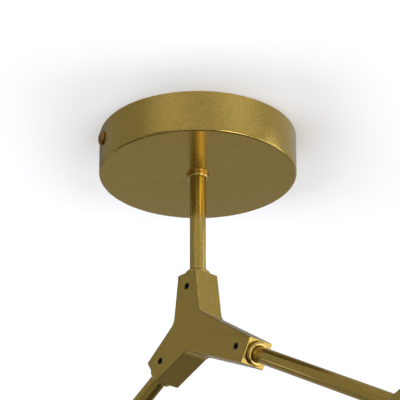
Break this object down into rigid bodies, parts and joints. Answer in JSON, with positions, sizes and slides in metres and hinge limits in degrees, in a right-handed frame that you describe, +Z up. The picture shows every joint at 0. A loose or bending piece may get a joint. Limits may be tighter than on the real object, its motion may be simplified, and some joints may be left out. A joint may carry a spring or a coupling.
{
  "type": "branching globe chandelier",
  "caption": "Ceiling chandelier with a round canopy, short stem and cast three-way hubs whose slanted tubes carry glass globe lamps on turning branches.",
  "frame": {"origin": "on the canopy's axis in the ceiling plane, between the two ceiling slots", "axes": "+Z up into the ceiling, +X along the mounting strap and the canopy's side screws"},
  "size_m": [0.6655, 0.65, 0.5025],
  "materials": {
    "gold_paint": "satin metallic gold paint with a fine grain",
    "ring_gold": "polished, lacquered",
    "zinc_steel": "zinc plated",
    "brass": "plain",
    "copper_screw": "bright",
    "black_screw": "black oxide",
    "ceramic": "glazed ceramic",
    "opal_glass": "opal, gloss",
    "bulb_glass": "frosted capsule",
    "silicone": "matte",
    "lead_jacket": "sheathed lead",
    "block_plastic": "moulded"
  },
  "bodies": {
    "ceiling_fixing": {"mounting_strap": "zinc_steel", "canopy_pan": "gold_paint", "canopy_side_screws": "copper_screw", "threaded_nipple": "zinc_steel", "nipple_washer": "zinc_steel", "nipple_nut": "zinc_steel", "canopy_bush": "ring_gold", "terminal_block": "block_plastic", "terminal_screws": "brass", "block_screw": "zinc_steel", "earth_screw": "brass", "supply_lead": "lead_jacket", "lead_grommet": "silicone"},
    "centre": {"stem_tube": "gold_paint", "centre_hub": "gold_paint", "centre_hub_grub_screws": "black_screw", "centre_hub_port_rings": "ring_gold"},
    "right_branch": {"right_link_tube": "gold_paint", "right_link_lead": "lead_jacket", "right_hub": "gold_paint", "right_hub_grub_screws": "black_screw", "right_hub_port_rings": "ring_gold", "right_cup_grub_screws": "black_screw", "right_holder_screws": "zinc_steel", "lamp_tube_1": "gold_paint", "lamp_lead_1": "lead_jacket", "lamp_cup_1": "gold_paint", "lampholder_1": "ceramic", "globe_gasket_1": "silicone", "lamp_tube_2": "gold_paint", "lamp_lead_2": "lead_jacket", "lamp_cup_2": "gold_paint", "lampholder_2": "ceramic", "globe_gasket_2": "silicone"},
    "left_branch": {"left_link_tube": "gold_paint", "left_link_lead": "lead_jacket", "left_hub": "gold_paint", "left_hub_grub_screws": "black_screw", "left_hub_port_rings": "ring_gold", "left_cup_grub_screws": "black_screw", "left_holder_screws": "zinc_steel", "lamp_tube_3": "gold_paint", "lamp_lead_3": "lead_jacket", "lamp_cup_3": "gold_paint", "lampholder_3": "ceramic", "globe_gasket_3": "silicone", "lamp_tube_4": "gold_paint", "lamp_lead_4": "lead_jacket", "lamp_cup_4": "gold_paint", "lampholder_4": "ceramic", "globe_gasket_4": "silicone"},
    "bulb_1_body": {"bulb_1": "bulb_glass"},
    "globe_1_body": {"globe_1": "opal_glass"},
    "bulb_2_body": {"bulb_2": "bulb_glass"},
    "globe_2_body": {"globe_2": "opal_glass"},
    "bulb_3_body": {"bulb_3": "bulb_glass"},
    "globe_3_body": {"globe_3": "opal_glass"},
    "bulb_4_body": {"bulb_4": "bulb_glass"},
    "globe_4_body": {"globe_4": "opal_glass"}
  },
  "joints": [
    {"name": "stem_turn", "type": "hinge", "parent": "ceiling_fixing", "child": "centre", "pos_m": [0, 0, -0.0272], "axis": [0, 0, 1], "range_deg": [-180, 180]},
    {"name": "right_branch_turn", "type": "hinge", "parent": "centre", "child": "right_branch", "pos_m": [0.0221, -0.0476, -0.1646], "axis": [0.3646, -0.7855, -0.5], "range_deg": [-180, 180]},
    {"name": "left_branch_turn", "type": "hinge", "parent": "centre", "child": "left_branch", "pos_m": [-0.01382, 0.02977, -0.15325], "axis": [-0.3646, 0.7855, -0.5], "range_deg": [-180, 180]},
    {"name": "globe_1_unscrew", "type": "hinge", "parent": "right_branch", "child": "globe_1_body", "pos_m": [0.0135, -0.23085, -0.37537], "axis": [-0.4623, -0.3263, -0.8245], "range_deg": [0, 270]},
    {"name": "bulb_1_pull", "type": "slide", "parent": "right_branch", "child": "bulb_1_body", "axis": [-0.4623, -0.3263, -0.8245], "range_m": [0, 0.008]},
    {"name": "globe_2_unscrew", "type": "hinge", "parent": "right_branch", "child": "globe_2_body", "pos_m": [0.19146, -0.24072, -0.20739], "axis": [0.8269, -0.4593, 0.3245], "range_deg": [0, 270]},
    {"name": "bulb_2_pull", "type": "slide", "parent": "right_branch", "child": "bulb_2_body", "axis": [0.8269, -0.4593, 0.3245], "range_m": [0, 0.008]},
    {"name": "globe_3_unscrew", "type": "hinge", "parent": "left_branch", "child": "globe_3_body", "pos_m": [-0.2133, 0.21907, -0.20278], "axis": [-0.9012, 0.3659, 0.2321], "range_deg": [0, 270]},
    {"name": "bulb_3_pull", "type": "slide", "parent": "left_branch", "child": "bulb_3_body", "axis": [-0.9012, 0.3659, 0.2321], "range_m": [0, 0.008]},
    {"name": "globe_4_unscrew", "type": "hinge", "parent": "left_branch", "child": "globe_4_body", "pos_m": [-0.00606, 0.21774, -0.3333], "axis": [0.5366, 0.4196, -0.7321], "range_deg": [0, 270]},
    {"name": "bulb_4_pull", "type": "slide", "parent": "left_branch", "child": "bulb_4_body", "axis": [0.5366, 0.4196, -0.7321], "range_m": [0, 0.008]}
  ]
}
